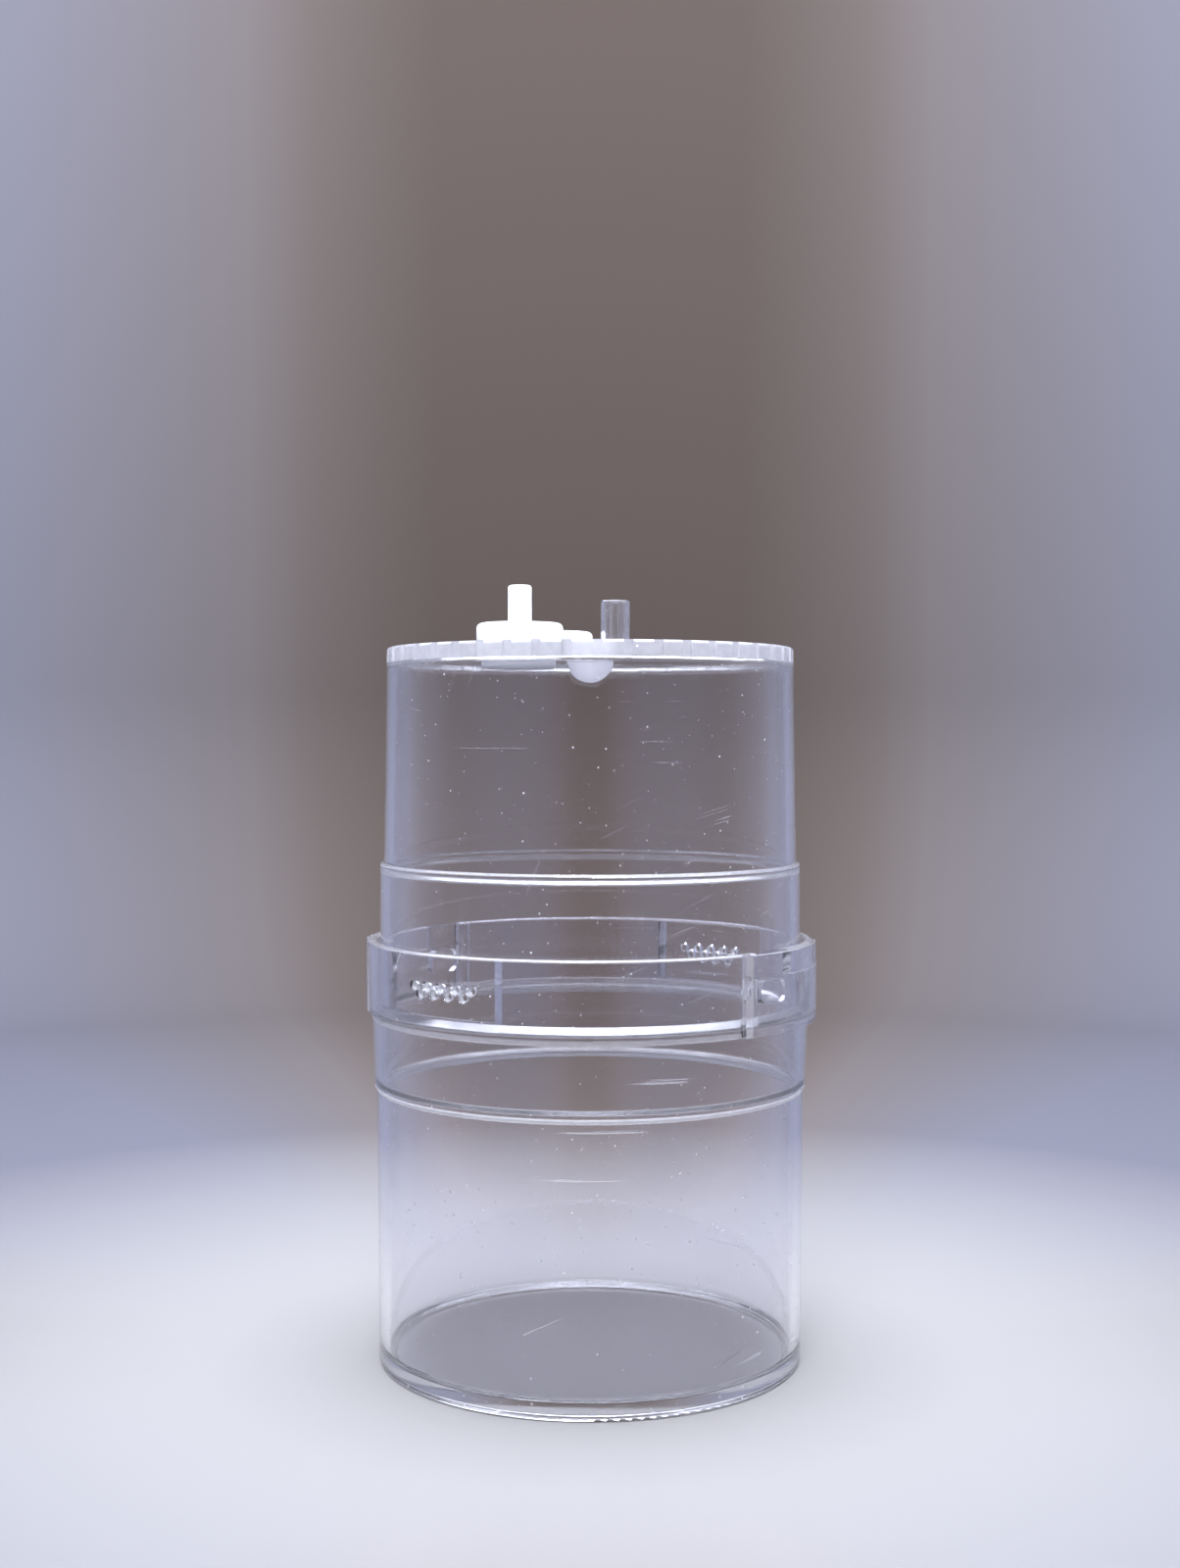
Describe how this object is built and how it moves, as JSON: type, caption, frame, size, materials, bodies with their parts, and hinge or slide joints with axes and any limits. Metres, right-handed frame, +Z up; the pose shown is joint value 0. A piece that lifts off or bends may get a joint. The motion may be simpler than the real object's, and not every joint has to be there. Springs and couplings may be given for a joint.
{
  "type": "small critter box",
  "caption": "Round clear rearing container: low cup with a socket collar and vent holes, and a tall upturned cup that twists to lock, with a white feed stopper on top.",
  "frame": {"origin": "centre of the underside of the base cup, on the axis that the top turns about", "axes": "+Z up along the container's axis, -Y towards the front of the picture, +X to its right"},
  "size_m": [0.0602, 0.0594, 0.1022],
  "materials": {
    "clear_base": "clear, polished",
    "clear_upper": "clear, polished",
    "white_stopper": "soft white, satin",
    "white_cap": "soft white, satin",
    "clear_tube": "clear, polished",
    "frosted_dome": "frosted, translucent"
  },
  "bodies": {
    "base": {"base_cup": "clear_base"},
    "middle": {"light_dome": "frosted_dome"},
    "top": {"upper_cup": "clear_upper", "light_tube": "clear_tube"},
    "stopper": {"feed_stopper": "white_stopper"},
    "cap": {"rear_cap": "white_cap"}
  },
  "joints": [
    {"name": "top_lift", "type": "slide", "parent": "base", "child": "middle", "axis": [0, 0, 1], "range_m": [0, 0.06]},
    {"name": "top_twist", "type": "hinge", "parent": "middle", "child": "top", "pos_m": [0, 0, 0], "axis": [0, 0, 1], "range_deg": [0, 26]},
    {"name": "feed_stopper_pull", "type": "slide", "parent": "top", "child": "stopper", "axis": [0, 0, 1], "range_m": [0, 0.02]},
    {"name": "rear_cap_pull", "type": "slide", "parent": "top", "child": "cap", "axis": [0, 0, 1], "range_m": [0, 0.015]}
  ]
}
